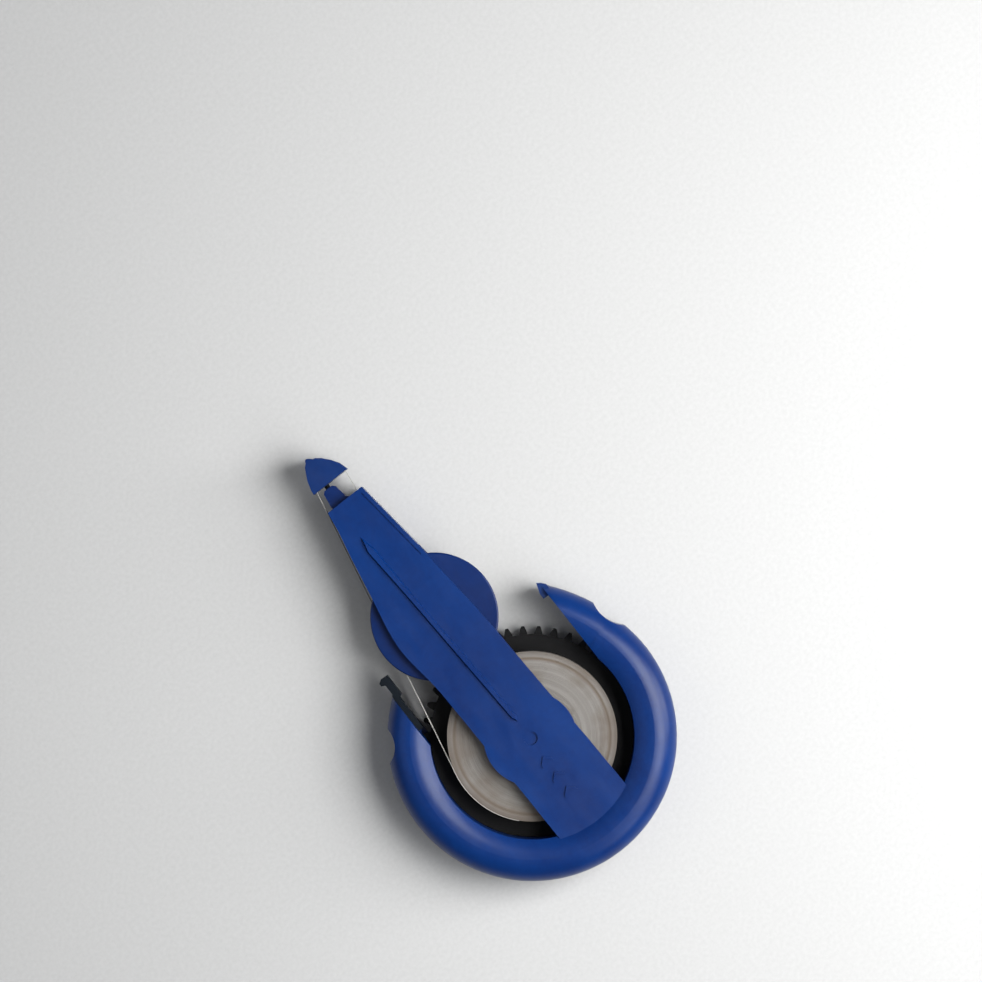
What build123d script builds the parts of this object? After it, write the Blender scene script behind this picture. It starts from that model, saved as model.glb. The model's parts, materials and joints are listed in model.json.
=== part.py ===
"""Refill cassette of a correction tape roller, in millimetres.

The cassette lies on its back: +Z is up, out of the front cover, and +Y runs along the arm to the
applicator tip. The origin is on the supply reel's axle, at the plane that the back rests on.
A C-shaped ring and a long arm, each made of a front and a back half, hold two geared reels. The
tape leaves the supply reel, runs up the arm, round the tip and back to the take-up reel.
"""

import os
from math import acos, atan2, cos, degrees, hypot, pi, radians, sin, sqrt, tan

from build123d import *

# ---------------------------------------------------------------- driving dimensions

# Ring
RING_OUTER_R = 23.2
RING_LIP_R = 16.4  # inner edge, seen from the front and the back
RING_TOP_Z = 11.0
RING_CREST_R = 19.6  # highest circle of the domed front
RING_LIP_Z = 10.0  # where the dome ends at the inner edge
RING_SIDE_Z = 6.8  # where the dome ends at the outer edge
RING_SPLIT_Z = 3.6  # where the front half sits on the back half
RING_BACK_ROUND = 2.5
MOUTH_LEFT_X = -12.9  # the ring is open between these two planes
MOUTH_RIGHT_X = 16.1
MOUTH_FRONT_CUT = 0.8  # the front half's left end stands back by this

# Thumb notches in the ring's rim: angle from +X, depth of the bottom and radius of the cut
NOTCHES = [(19.0, 0.9, 5.9), (145.6, 1.15, 4.3)]

# Horn: the ring's right end runs out on a larger radius
HORN_FROM_ANGLE = 19.0
HORN_CENTRE = (-6.5, -1.3)
HORN_EXTRA_R = 6.8  # the horn's outer radius is the ring's plus this

# Plates of the arm
ARM_TOP_Z = 10.3
BACK_PLATE = 1.4
FRONT_PLATE = 1.4
NOSE_PLATE = 1.3
NOSE_GAP = 0.5  # from the take-up flange's edge to where the plates thicken
NOSE_END_Y = 48.4
NOSE_WALL = 0.6
SLOPE_FROM_Y = 30.0
FRONT_DROP = 0.8  # how much each face has sloped in at the nose's end
BACK_DROP = 1.7
HUB_BOSS_R = 7.5  # round swelling of the arm over the supply axle
HUB_BOSS_CENTRE = (-0.35, 0.0)
ROOT_OVERLAP = 0.7  # how far the arm's root runs into the ring, past its inner edge
ROOT_LEFT_X = -6.6
ROOT_RIGHT_X = 7.1
ARM_LEFT_LOWER = [(-6.7, -6.0), (-6.9, 3.0), (-7.1, 14.5)]  # left edge, from the root up
ARM_LEFT_BULGE = (-7.95, 24.0)
ARM_LEFT_UPPER = [(-6.45, 33.0), (-5.1, 40.0), (-4.0, 45.0)]
ARM_RIGHT_BEND = (4.95, 33.5)  # right edge, from the nose down
ARM_RIGHT_BULGE = (5.65, 24.0)
ARM_RIGHT_LOWER = [(6.2, 12.5), (6.5, 4.0), (6.9, -6.0)]
NOSE_LEFT = (-3.5, NOSE_END_Y)
NOSE_RIGHT = (3.35, NOSE_END_Y)
SEAM_INSET = 0.65  # fine groove beside the nose's right edge
SEAM_WIDTH = 0.22
SEAM_DEPTH = 0.2
SEAM_FROM_Y = 34.0
SEAM_TO_Y = NOSE_END_Y - 0.8

# Tape
TAPE_WIDTH = 4.2
TAPE_THICKNESS = 0.1
TAPE_ROLL_R = 13.65
TAPE_FLOOR_Z = 3.5  # back edge of the tape
TAPE_GAP = 0.1  # between a free run of tape and what it would touch
TAPE_FOOT_GAP = 0.15  # between a free run's end and the tape round the tip

# Gears
MODULE = 0.8
SUPPLY_TEETH = 42
TAKEUP_TEETH = 20
PRESSURE_ANGLE = 20.0
DEDENDUM = 1.25  # depth of a tooth below the pitch circle, in modules
FLANK_START = 0.02  # least height of the flank's foot over the root circle
BACKLASH = 0.14
GEAR_FLOOR_Z = 1.7
GEAR_THICKNESS = 1.45
PINION_THICKNESS = 1.3
WEB_R = 16.3  # thin disc that closes the tooth gaps under the tape
WEB_THICKNESS = 0.25
GEAR_HOLES = 6
GEAR_HOLE_R = 2.4
GEAR_HOLE_CIRCLE_R = 10.2
TAKEUP_OFFSET_X = -0.4  # the take-up axle stands a little left of the arm's axis

# Running and sliding clearances
AXLE_CLEARANCE = 0.06
SIDE_CLEARANCE = 0.2
SOCKET_CLEARANCE = 0.05
SOCKET_DEPTH_CLEARANCE = 0.1
PRESS_CLEARANCE = 0.02

# Pegs that join the ring's halves, at these angles
PEG_R = 1.0
PEG_FOOT_Z = 1.6
PEG_WALL = 1.5  # between the pegs and the gear's slot
PEG_INTO_DOME = 0.5
PEG_ANGLES = [170.0, 215.0, 270.0, 325.0, 5.0]
GROOVE_INNER_R = 18.0  # hollow inside the ring
GROOVE_OUTER_R = 20.6
GROOVE_TOP_Z = 9.4
GROOVE_END = 2.0

# Supply reel
THRUST_BOSS = 0.2
THRUST_BOSS_R = 3.0
SUPPLY_AXLE_R = 2.0
PEG_SOCKET_R = 1.0
PEG_SOCKET_DEPTH = 5.0
GEAR_HUB_R = 4.0
CORE_OUTER_R = 5.6
CLUTCH_SECTION_R = 0.4
CLUTCH_CENTRE_R = 4.2
CLUTCH_RISE = 0.6  # above the tape's middle
CLUTCH_GROOVE_SIDE = 0.05
CLUTCH_GROOVE_END = 0.3
HUB_PROUD = 0.1  # the gear's hub stands over the tape by this
RETAINER_R = 5.0
RETAINER_THICKNESS = 0.6
RETAINER_SPIGOT_R = 3.0
RETAINER_SPIGOT = 0.7

# Take-up reel
TAKEUP_AXLE_R = 1.6
TAKEUP_HUB_R = 7.2
TAKEUP_WALL = 1.0
TAKEUP_BOSS_R = 3.0
TAKEUP_RIM_STEP = 0.2  # the step over the pinion stands inside its root circle
LINER_WOUND = 0.2
FLANGE_R = 10.3
FLANGE_THICKNESS = 0.8
FLANGE_SPIGOT = 1.4
FLANGE_SPIGOT_WALL = 0.9
FLANGE_ROUND = 0.25

# Axle ends
SPIGOT_R = 1.0
SPIGOT_LENGTH = 0.9

# Tip
TIP_X = -1.05
PIN_R = 0.45
PIN_CHAMFER = 0.08
PIN_END_GAP = 0.15
HEAD_BASE_Y = NOSE_END_Y + 3.7
HOLDER_TOP_Y = NOSE_END_Y + 3.1
HOLDER_FOOT_Y = NOSE_END_Y - 2.8
HOLDER_HALF_WIDTH = 1.5  # where the stem leaves the nose
HOLDER_TOP_HALF_WIDTH = 1.15
HOLDER_CORNER = 0.4
HOLDER_PLAY = 0.05  # between the holder and each plate of the nose
HEAD_SIDES = [
    (-2.8, HEAD_BASE_Y + 0.2),
    (-2.72, HEAD_BASE_Y + 1.1),
    (-2.4, HEAD_BASE_Y + 2.5),
    (-1.92, HEAD_BASE_Y + 3.7),
    (-1.5, HEAD_BASE_Y + 4.7),
    (-1.25, HEAD_BASE_Y + 5.2),
    (-0.95, HEAD_BASE_Y + 5.35),
    (-0.6, HEAD_BASE_Y + 5.15),
    (-0.1, HEAD_BASE_Y + 4.7),
    (0.85, HEAD_BASE_Y + 3.7),
    (1.85, HEAD_BASE_Y + 2.4),
    (2.5, HEAD_BASE_Y + 1.4),
    (2.85, HEAD_BASE_Y + 0.2),
]  # middle of the tape round the tip, from its left foot to its right foot
CHEEK_OUTLINE = [
    (-3.5, HEAD_BASE_Y),
    (-3.4, HEAD_BASE_Y + 0.8),
    (-2.95, HEAD_BASE_Y + 2.3),
    (-2.4, HEAD_BASE_Y + 3.4),
    (-1.9, HEAD_BASE_Y + 4.3),
    (-1.3, HEAD_BASE_Y + 4.85),
    (-0.5, HEAD_BASE_Y + 4.7),
    (0.3, HEAD_BASE_Y + 4.5),
    (1.1, HEAD_BASE_Y + 3.9),
    (2.05, HEAD_BASE_Y + 2.8),
    (2.85, HEAD_BASE_Y + 1.6),
    (3.3, HEAD_BASE_Y),
]
BED_GAP = 0.01  # between the tape and the head under it
CHEEK = 0.7
CHEEK_GAP = 0.2
PIN_LENGTH = 3.6
FEED_LOBE = (-2.45, NOSE_END_Y - 1.0)
RETURN_LOBE = (1.3, NOSE_END_Y - 1.2)
LOBE_R = 0.8
STUD_R = 0.55
STUD_Y = NOSE_END_Y - 1.8

# Latches
LATCH_FLOOR_Z = 4.0
LATCH_HEIGHT = 5.0
LEFT_LATCH = [
    (-13.65, 12.0),
    (-12.8, 12.0),
    (-12.8, 18.0),
    (-12.2, 18.3),
    (-12.2, 22.1),
    (-13.4, 22.2),
    (-14.0, 21.8),
    (-14.0, 21.3),
    (-13.4, 21.0),
    (-13.4, 19.2),
    (-13.65, 18.9),
    (-13.65, 16.6),
    (-14.7, 16.6),
    (-14.7, 14.6),
    (-13.65, 14.6),
]
RIGHT_LATCH = [
    (16.9, 12.5),
    (16.15, 12.5),
    (16.05, 16.2),
    (15.1, 16.2),
    (15.15, 17.3),
    (15.75, 18.9),
    (16.3, 18.5),
    (16.9, 17.8),
]

# Relief on the front plate
RIB_HEIGHT = 0.6
RIB_ROOT = 0.8  # how deep the rib's solid reaches into the plate
RIB_HALF_WIDTH = 0.8  # at that depth, from where the sides lean in
RIB_LEAN = 20.0
RIB_FOOT_TAPER = 1.5
RIB_HEAD_TAPER = 3.0
RIB_FOOT = (-0.3, 4.3)
RIB_HEAD = (-1.8, 42.5)
DIMPLE_CENTRE = (-0.3, 0.0)
DIMPLE_R = 1.1
DIMPLE_DEPTH = 0.35
MARK_HEIGHT = 0.2
MARK_X = -0.6
MARK_YS = [-4.5, -7.5, -10.5]
CHEVRON = [(-1.1, 0.0), (0.0, 1.0), (1.1, 0.0), (1.1, -0.5), (0.0, 0.5), (-1.1, -0.5)]

# Relief in the back: a round recess at each axle, and two slots
RECESS_DEPTH = 0.25
SUPPLY_RECESS = (5.6, 2.6)  # outer and inner radius
TAKEUP_RECESS = (4.4, 2.4)
BACK_SLOT = (5.0, 3.0)  # length between its ends' centres, and width
BACK_SLOT_CENTRES = [(-0.2, 10.8), (-0.2, -10.8)]

FAR = 60.0  # longer than anything that a cutter has to pass through

# ---------------------------------------------------------------- derived sizes

CLEAR_Z = RING_TOP_Z + 1  # height that cutters from z = 0 reach
HORN_OUTER_R = RING_OUTER_R + HORN_EXTRA_R
ROOT_R = RING_LIP_R + ROOT_OVERLAP
ROOT_LEFT = (ROOT_LEFT_X, -sqrt(ROOT_R**2 - ROOT_LEFT_X**2))
ROOT_RIGHT = (ROOT_RIGHT_X, -sqrt(ROOT_R**2 - ROOT_RIGHT_X**2))
FRONT_PLATE_Z = ARM_TOP_Z - FRONT_PLATE  # underside of the front plate
FRONT_SLOPE = FRONT_DROP / (NOSE_END_Y - SLOPE_FROM_Y)
NOSE_FRONT_Z = ARM_TOP_Z - FRONT_DROP - NOSE_PLATE  # underside of the front plate in the nose
NOSE_BACK_Z = BACK_DROP + NOSE_PLATE  # upper side of the back plate in the nose
GEAR_TOP_Z = GEAR_FLOOR_Z + GEAR_THICKNESS
TAPE_TOP_Z = TAPE_FLOOR_Z + TAPE_WIDTH
TAPE_MID_Z = TAPE_FLOOR_Z + TAPE_WIDTH / 2
FLANGE_Z = TAPE_TOP_Z + SIDE_CLEARANCE
SUPPLY_PITCH_R = MODULE * SUPPLY_TEETH / 2
TAKEUP_PITCH_R = MODULE * TAKEUP_TEETH / 2
CENTRE_DISTANCE = SUPPLY_PITCH_R + TAKEUP_PITCH_R
TAKEUP_Y = sqrt(CENTRE_DISTANCE**2 - TAKEUP_OFFSET_X**2)
TAKEUP_CENTRE = (TAKEUP_OFFSET_X, TAKEUP_Y)
NOSE_FROM_Y = TAKEUP_Y + FLANGE_R + NOSE_GAP
TAKEUP_ANGLE = degrees(atan2(TAKEUP_Y, TAKEUP_OFFSET_X))
RIM_SLOT_R = SUPPLY_PITCH_R + MODULE + SIDE_CLEARANCE
PEG_CIRCLE_R = RIM_SLOT_R + PEG_WALL + PEG_R
HUB_TOP_Z = TAPE_TOP_Z + HUB_PROUD
CLUTCH_Z = TAPE_MID_Z + CLUTCH_RISE
HEAD_HALF = TAPE_WIDTH / 2 + CHEEK_GAP + CHEEK

os.makedirs("parts", exist_ok=True)


def finish(builder, name):
    """Labels a finished piece and writes it."""
    builder.part.label = name
    export_step(builder.part, f"parts/{name}.step")
    print(name, round(builder.part.volume, 2))


# ---------------------------------------------------------------- outlines


def involute(base_r, radius):
    """Polar angle, in degrees, that an involute has turned through at a radius."""
    alpha = acos(min(1.0, base_r / radius))
    return degrees(tan(alpha) - alpha)


def polar(radius, angle, centre=(0.0, 0.0)):
    """Point at a radius and an angle in degrees."""
    return (centre[0] + radius * cos(radians(angle)), centre[1] + radius * sin(radians(angle)))


def gear_outline(teeth, first_angle):
    """Involute gear about the origin, with the middle of one tooth at first_angle."""
    pitch_r = MODULE * teeth / 2
    base_r = pitch_r * cos(radians(PRESSURE_ANGLE))
    tip_r = pitch_r + MODULE
    root_r = pitch_r - DEDENDUM * MODULE
    start_r = max(base_r, root_r + FLANK_START)
    middle_r = (start_r + tip_r) / 2
    half_at_pitch = degrees((pi * MODULE / 2 - BACKLASH) / 2 / pitch_r)
    half_at_base = half_at_pitch + involute(base_r, pitch_r)
    half_start = half_at_base - involute(base_r, start_r)
    half_middle = half_at_base - involute(base_r, middle_r)
    half_tip = half_at_base - involute(base_r, tip_r)
    step = 360.0 / teeth
    with BuildSketch() as outline:
        with BuildLine():
            for tooth in range(teeth):
                angle = first_angle + tooth * step
                next_start = polar(start_r, angle + step - half_start)
                rise = polar(start_r, angle - half_start)
                crest = polar(tip_r, angle - half_tip)
                crest_end = polar(tip_r, angle + half_tip)
                foot = polar(start_r, angle + half_start)
                root = polar(root_r, angle + half_start)
                next_root = polar(root_r, angle + step - half_start)
                ThreePointArc(rise, polar(middle_r, angle - half_middle), crest)
                Line(crest, crest_end)
                ThreePointArc(crest_end, polar(middle_r, angle + half_middle), foot)
                Polyline(foot, root, next_root, next_start)
        make_face()
    return outline.sketch


def beside(points, distance):
    """The same row of points, moved sideways to the left of its direction."""
    moved = []
    for i, point in enumerate(points):
        before = points[max(i - 1, 0)]
        after = points[min(i + 1, len(points) - 1)]
        along = (after[0] - before[0], after[1] - before[1])
        length = hypot(*along)
        moved.append(
            (point[0] - along[1] / length * distance, point[1] + along[0] / length * distance)
        )
    return moved


def strip(points):
    """Closed outline of a tape whose middle follows the points."""
    return beside(points, TAPE_THICKNESS / 2) + beside(points, -TAPE_THICKNESS / 2)[::-1]


def arc_points(centre, radius, from_angle, to_angle, count):
    """Evenly spaced points along an arc."""
    step = (to_angle - from_angle) / (count - 1)
    return [polar(radius, from_angle + i * step, centre) for i in range(count)]


def tangent_angle(centre_a, radius_a, centre_b, radius_b):
    """Direction of the left-hand touch points of a tape from round a to round b."""
    apart = (centre_b[0] - centre_a[0], centre_b[1] - centre_a[1])
    turn = degrees(acos((radius_a - radius_b) / hypot(*apart)))
    return degrees(atan2(apart[1], apart[0])) + turn


def crossing_angle(centre_a, radius_a, centre_b, radius_b):
    """Direction of the touch point left of round a, for a tape to the right of round b."""
    apart = (centre_b[0] - centre_a[0], centre_b[1] - centre_a[1])
    turn = degrees(acos((radius_a + radius_b) / hypot(*apart)))
    return degrees(atan2(apart[1], apart[0])) + turn


def nose_right_x(y):
    """X of the arm's right edge in the nose."""
    bend_x, bend_y = ARM_RIGHT_BEND
    return bend_x + (NOSE_RIGHT[0] - bend_x) * (y - bend_y) / (NOSE_END_Y - bend_y)


def arm_outline(from_y=-FAR):
    """Arm seen from the front, cut off below from_y."""
    with BuildSketch() as outline:
        with BuildLine():
            Polyline(ROOT_LEFT, *ARM_LEFT_LOWER)
            Spline(
                ARM_LEFT_LOWER[-1],
                ARM_LEFT_BULGE,
                ARM_LEFT_UPPER[0],
                tangents=[(-0.05, 1.0), (0.2, 1.0)],
            )
            Polyline(*ARM_LEFT_UPPER, NOSE_LEFT, NOSE_RIGHT, ARM_RIGHT_BEND)
            Spline(
                ARM_RIGHT_BEND,
                ARM_RIGHT_BULGE,
                ARM_RIGHT_LOWER[0],
                tangents=[(0.02, -1.0), (0.03, -1.0)],
            )
            Polyline(*ARM_RIGHT_LOWER, ROOT_RIGHT)
            ThreePointArc(ROOT_RIGHT, (0.0, -ROOT_R), ROOT_LEFT)
        make_face()
        with Locations(HUB_BOSS_CENTRE):
            Circle(HUB_BOSS_R)
        with Locations((0, from_y - FAR)):
            Rectangle(2 * FAR, 2 * FAR, mode=Mode.SUBTRACT)
    return outline.sketch


def ring_section(outer_r, front):
    """Half of the ring's cross-section: X is the distance from the axis, Y is height."""
    lip_r = outer_r - (RING_OUTER_R - RING_LIP_R)
    slot_r = outer_r - (RING_OUTER_R - RIM_SLOT_R)
    crest = (outer_r - (RING_OUTER_R - RING_CREST_R), RING_TOP_Z)
    side_out = (outer_r, RING_SIDE_Z)
    side_in = (lip_r, RING_LIP_Z)
    with BuildSketch() as outline:
        with BuildLine():
            if front:
                Polyline(side_in, (lip_r, RING_SPLIT_Z), (outer_r, RING_SPLIT_Z), side_out)
                TangentArc(crest, side_out, tangent=(1, 0))
                TangentArc(crest, side_in, tangent=(-1, 0))
            else:
                foot_out = (outer_r - RING_BACK_ROUND, 0.0)
                Polyline(
                    foot_out,
                    (lip_r, 0.0),
                    (lip_r, BACK_PLATE),
                    (slot_r, BACK_PLATE),
                    (slot_r, RING_SPLIT_Z),
                    (outer_r, RING_SPLIT_Z),
                    (outer_r, RING_BACK_ROUND),
                )
                RadiusArc((outer_r, RING_BACK_ROUND), foot_out, RING_BACK_ROUND)
        make_face()
    return outline.sketch


def horn_wedge():
    """Sector of the ring that the horn takes over."""
    far_point = polar(FAR, HORN_FROM_ANGLE)
    with BuildSketch() as outline:
        Polygon(
            (0, 0), far_point, (FAR, FAR), (MOUTH_RIGHT_X, FAR), (MOUTH_RIGHT_X, 0), align=None
        )
        with Locations((MOUTH_RIGHT_X - FAR, 0)):
            Rectangle(2 * FAR, 4 * FAR, mode=Mode.SUBTRACT)
    return outline.sketch


# ---------------------------------------------------------------- halves of the ring


def build_ring(front):
    """One half of the ring with its horn, mouth and thumb notches."""
    mouth_left_x = MOUTH_LEFT_X - MOUTH_FRONT_CUT if front else MOUTH_LEFT_X
    section = ring_section(RING_OUTER_R, front)
    horn_section = ring_section(HORN_OUTER_R, front)
    wedge = horn_wedge()
    horn_plane = Plane((HORN_CENTRE[0], HORN_CENTRE[1], 0), x_dir=(1, 0, 0), z_dir=(0, -1, 0))
    with BuildPart() as horn:
        with BuildSketch(horn_plane):
            add(horn_section)
        revolve(axis=Axis((HORN_CENTRE[0], HORN_CENTRE[1], 0), (0, 0, 1)))
        with BuildSketch():
            add(wedge)
        extrude(amount=CLEAR_Z, mode=Mode.INTERSECT)
    with BuildPart() as ring:
        with BuildSketch(Plane.XZ):
            add(section)
        revolve(axis=Axis.Z)
        with BuildSketch():
            add(wedge)
            with Locations(((mouth_left_x + MOUTH_RIGHT_X) / 2, FAR / 2)):
                Rectangle(MOUTH_RIGHT_X - mouth_left_x, FAR)
        extrude(amount=CLEAR_Z, mode=Mode.SUBTRACT)
        add(horn.part)
        with BuildSketch():
            for angle, depth, cut_r in NOTCHES:
                with Locations(polar(RING_OUTER_R - depth + cut_r, angle)):
                    Circle(cut_r)
        extrude(amount=CLEAR_Z, mode=Mode.SUBTRACT)
    return ring.part


def build_arm(front):
    """The arm's front or back plate, thicker in the nose and sloping in towards the tip."""
    if front:
        low, high = FRONT_PLATE_Z, ARM_TOP_Z
        nose_low, nose_high = NOSE_FRONT_Z, ARM_TOP_Z
        face_z, outward, drop = ARM_TOP_Z, 1, FRONT_DROP
    else:
        low, high = 0.0, BACK_PLATE
        nose_low, nose_high = 0.0, NOSE_BACK_Z
        face_z, outward, drop = 0.0, -1, BACK_DROP
    outline = arm_outline()
    nose = arm_outline(from_y=NOSE_FROM_Y)
    run = FAR - SLOPE_FROM_Y
    end_z = face_z - outward * drop * run / (NOSE_END_Y - SLOPE_FROM_Y)
    beyond_z = face_z + outward * FRONT_PLATE
    with BuildPart() as arm:
        with BuildSketch(Plane.XY.offset(low)):
            add(outline)
        extrude(amount=high - low)
        with BuildSketch(Plane.XY.offset(nose_low)):
            add(nose)
        extrude(amount=nose_high - nose_low)
        with BuildSketch(Plane.YZ):
            Polygon(
                (SLOPE_FROM_Y, face_z),
                (SLOPE_FROM_Y + run, end_z),
                (SLOPE_FROM_Y + run, beyond_z),
                (SLOPE_FROM_Y, beyond_z),
                align=None,
            )
        extrude(amount=FAR, both=True, mode=Mode.SUBTRACT)
    return arm.part


def peg_outline(radius):
    """Round outlines of the pegs that join the halves of the ring."""
    with BuildSketch() as outline:
        for angle in PEG_ANGLES:
            with Locations(polar(PEG_CIRCLE_R, angle)):
                Circle(radius)
    return outline.sketch


def build_hollow():
    """Hollow of the ring's front half, closed near the mouth."""
    with BuildPart() as hollow:
        with BuildSketch(Plane.XY.offset(RING_SPLIT_Z)):
            Circle(GROOVE_OUTER_R)
            Circle(GROOVE_INNER_R, mode=Mode.SUBTRACT)
            with Locations(((MOUTH_LEFT_X + MOUTH_RIGHT_X) / 2, FAR / 2)):
                Rectangle(
                    MOUTH_RIGHT_X - MOUTH_LEFT_X + 2 * GROOVE_END, FAR, mode=Mode.SUBTRACT
                )
        extrude(amount=GROOVE_TOP_Z - RING_SPLIT_Z)
    return hollow.part


ring_front = build_ring(front=True)
ring_back = build_ring(front=False)
arm_front = build_arm(front=True)
arm_back = build_arm(front=False)
ring_hollow = build_hollow()
pegs = peg_outline(PEG_R)
peg_sockets = peg_outline(PEG_R + SOCKET_CLEARANCE)

# ---------------------------------------------------------------- tip holder

HOLDER_LEFT = TIP_X - HOLDER_HALF_WIDTH
HOLDER_RIGHT = TIP_X + HOLDER_HALF_WIDTH
HOLDER_Z = NOSE_BACK_Z + HOLDER_PLAY
HOLDER_HEIGHT = NOSE_FRONT_Z - NOSE_BACK_Z - 2 * HOLDER_PLAY
PIN_START_Y = (HOLDER_TOP_Y + HEAD_BASE_Y - PIN_LENGTH) / 2

with BuildPart() as tip_holder:
    with BuildSketch(Plane.XY.offset(HOLDER_Z)):
        Polygon(
            (FEED_LOBE[0], FEED_LOBE[1] - LOBE_R),
            (HOLDER_LEFT + HOLDER_CORNER, HOLDER_FOOT_Y),
            (HOLDER_RIGHT - HOLDER_CORNER, HOLDER_FOOT_Y),
            (RETURN_LOBE[0], RETURN_LOBE[1] - LOBE_R),
            (RETURN_LOBE[0], RETURN_LOBE[1] + LOBE_R),
            (HOLDER_RIGHT, NOSE_END_Y + HOLDER_CORNER),
            (TIP_X + HOLDER_TOP_HALF_WIDTH, HOLDER_TOP_Y - HOLDER_CORNER),
            (TIP_X + HOLDER_TOP_HALF_WIDTH - HOLDER_CORNER, HOLDER_TOP_Y),
            (TIP_X - HOLDER_TOP_HALF_WIDTH + HOLDER_CORNER, HOLDER_TOP_Y),
            (TIP_X - HOLDER_TOP_HALF_WIDTH, HOLDER_TOP_Y - HOLDER_CORNER),
            (HOLDER_LEFT, NOSE_END_Y + HOLDER_CORNER),
            (FEED_LOBE[0], FEED_LOBE[1] + LOBE_R),
            align=None,
        )
        with Locations(FEED_LOBE, RETURN_LOBE):
            Circle(LOBE_R)
    extrude(amount=HOLDER_HEIGHT)
    with BuildSketch(Plane.XY.offset(HOLDER_Z - SPIGOT_LENGTH)):
        with Locations((TIP_X, STUD_Y)):
            Circle(STUD_R)
    extrude(amount=HOLDER_HEIGHT + 2 * SPIGOT_LENGTH)
    with BuildSketch(Plane((TIP_X, PIN_START_Y, TAPE_MID_Z), x_dir=(1, 0, 0), z_dir=(0, 1, 0))):
        Circle(PIN_R)
    extrude(amount=FAR, mode=Mode.SUBTRACT)

with BuildPart() as tip_pin:
    with BuildSketch(Plane((TIP_X, PIN_START_Y, TAPE_MID_Z), x_dir=(1, 0, 0), z_dir=(0, 1, 0))):
        Circle(PIN_R)
    extrude(amount=PIN_LENGTH)
    chamfer(tip_pin.edges(), PIN_CHAMFER)

# ---------------------------------------------------------------- tip head

bed = beside(HEAD_SIDES, -(TAPE_THICKNESS / 2 + BED_GAP))

with BuildPart() as tip_head:
    with BuildSketch(Plane.XY.offset(TAPE_MID_Z - HEAD_HALF)):
        Polygon((bed[0][0], HEAD_BASE_Y), *bed, (bed[-1][0], HEAD_BASE_Y), align=None)
    extrude(amount=2 * HEAD_HALF)
    for cheek_z in (TAPE_MID_Z - HEAD_HALF, TAPE_MID_Z + HEAD_HALF - CHEEK):
        with BuildSketch(Plane.XY.offset(cheek_z)):
            Polygon(*CHEEK_OUTLINE, align=None)
        extrude(amount=CHEEK)
    with BuildSketch(Plane((TIP_X, HEAD_BASE_Y, TAPE_MID_Z), x_dir=(1, 0, 0), z_dir=(0, 1, 0))):
        Circle(PIN_R + SOCKET_CLEARANCE)
    extrude(amount=PIN_START_Y + PIN_LENGTH + PIN_END_GAP - HEAD_BASE_Y, mode=Mode.SUBTRACT)

# ---------------------------------------------------------------- tape runs

TAPE_OFF = TAPE_THICKNESS / 2 + TAPE_GAP
feed_foot = (HEAD_SIDES[0][0], HEAD_BASE_Y - TAPE_FOOT_GAP)
feed_r = TAPE_ROLL_R + TAPE_OFF
feed_path = [polar(feed_r, tangent_angle((0.0, 0.0), feed_r, feed_foot, 0.0)), feed_foot]

wound_r = TAKEUP_HUB_R + LINER_WOUND + TAPE_OFF
lobe_r = LOBE_R + TAPE_OFF
return_angle = crossing_angle(TAKEUP_CENTRE, wound_r, RETURN_LOBE, lobe_r)
return_end = polar(wound_r, return_angle, TAKEUP_CENTRE)
return_foot = (HEAD_SIDES[-1][0], HEAD_BASE_Y - TAPE_FOOT_GAP)
return_meet = 180 - tangent_angle(
    (-RETURN_LOBE[0], RETURN_LOBE[1]), lobe_r, (-return_foot[0], return_foot[1]), 0.0
)
return_turn = arc_points(RETURN_LOBE, lobe_r, return_meet, return_angle - 180, 3)
return_path = [return_foot] + return_turn + [return_end]


def build_tape(points):
    """Tape standing on its edge along a row of points."""
    with BuildPart() as tape:
        with BuildSketch(Plane.XY.offset(TAPE_FLOOR_Z)):
            Polygon(*strip(points), align=None)
        extrude(amount=TAPE_WIDTH)
    return tape


feed_tape = build_tape(feed_path)
return_tape = build_tape(return_path)
tip_tape = build_tape(HEAD_SIDES)

with BuildPart() as tape_roll:
    with BuildSketch(Plane.XY.offset(TAPE_FLOOR_Z)):
        Circle(TAPE_ROLL_R)
        Circle(CORE_OUTER_R, mode=Mode.SUBTRACT)
    extrude(amount=TAPE_WIDTH)

# ---------------------------------------------------------------- supply reel

supply_teeth = gear_outline(SUPPLY_TEETH, TAKEUP_ANGLE)
takeup_teeth = gear_outline(TAKEUP_TEETH, TAKEUP_ANGLE + 180 + 180 / TAKEUP_TEETH)

with BuildPart() as supply_gear:
    with BuildSketch(Plane.XY.offset(GEAR_FLOOR_Z)):
        add(supply_teeth)
    extrude(amount=GEAR_THICKNESS)
    with BuildSketch(Plane.XY.offset(GEAR_TOP_Z)):
        Circle(WEB_R)
    extrude(amount=WEB_THICKNESS)
    with BuildSketch(Plane.XY.offset(GEAR_FLOOR_Z)):
        with PolarLocations(GEAR_HOLE_CIRCLE_R, GEAR_HOLES):
            Circle(GEAR_HOLE_R)
    extrude(amount=GEAR_THICKNESS + WEB_THICKNESS, mode=Mode.SUBTRACT)
    with BuildSketch(Plane.XY.offset(GEAR_TOP_Z)):
        Circle(GEAR_HUB_R)
    extrude(amount=HUB_TOP_Z - GEAR_TOP_Z)
    with BuildSketch(Plane.XY.offset(GEAR_FLOOR_Z)):
        Circle(SUPPLY_AXLE_R + AXLE_CLEARANCE)
    extrude(amount=FAR, mode=Mode.SUBTRACT)
    with BuildSketch(Plane.XY.offset(HUB_TOP_Z - RETAINER_SPIGOT - SOCKET_DEPTH_CLEARANCE)):
        Circle(RETAINER_SPIGOT_R + PRESS_CLEARANCE)
    extrude(amount=FAR, mode=Mode.SUBTRACT)
    with BuildSketch(Plane.XZ):
        with Locations((CLUTCH_CENTRE_R, CLUTCH_Z)):
            Circle(CLUTCH_SECTION_R + PRESS_CLEARANCE)
    revolve(axis=Axis.Z, mode=Mode.SUBTRACT)

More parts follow.
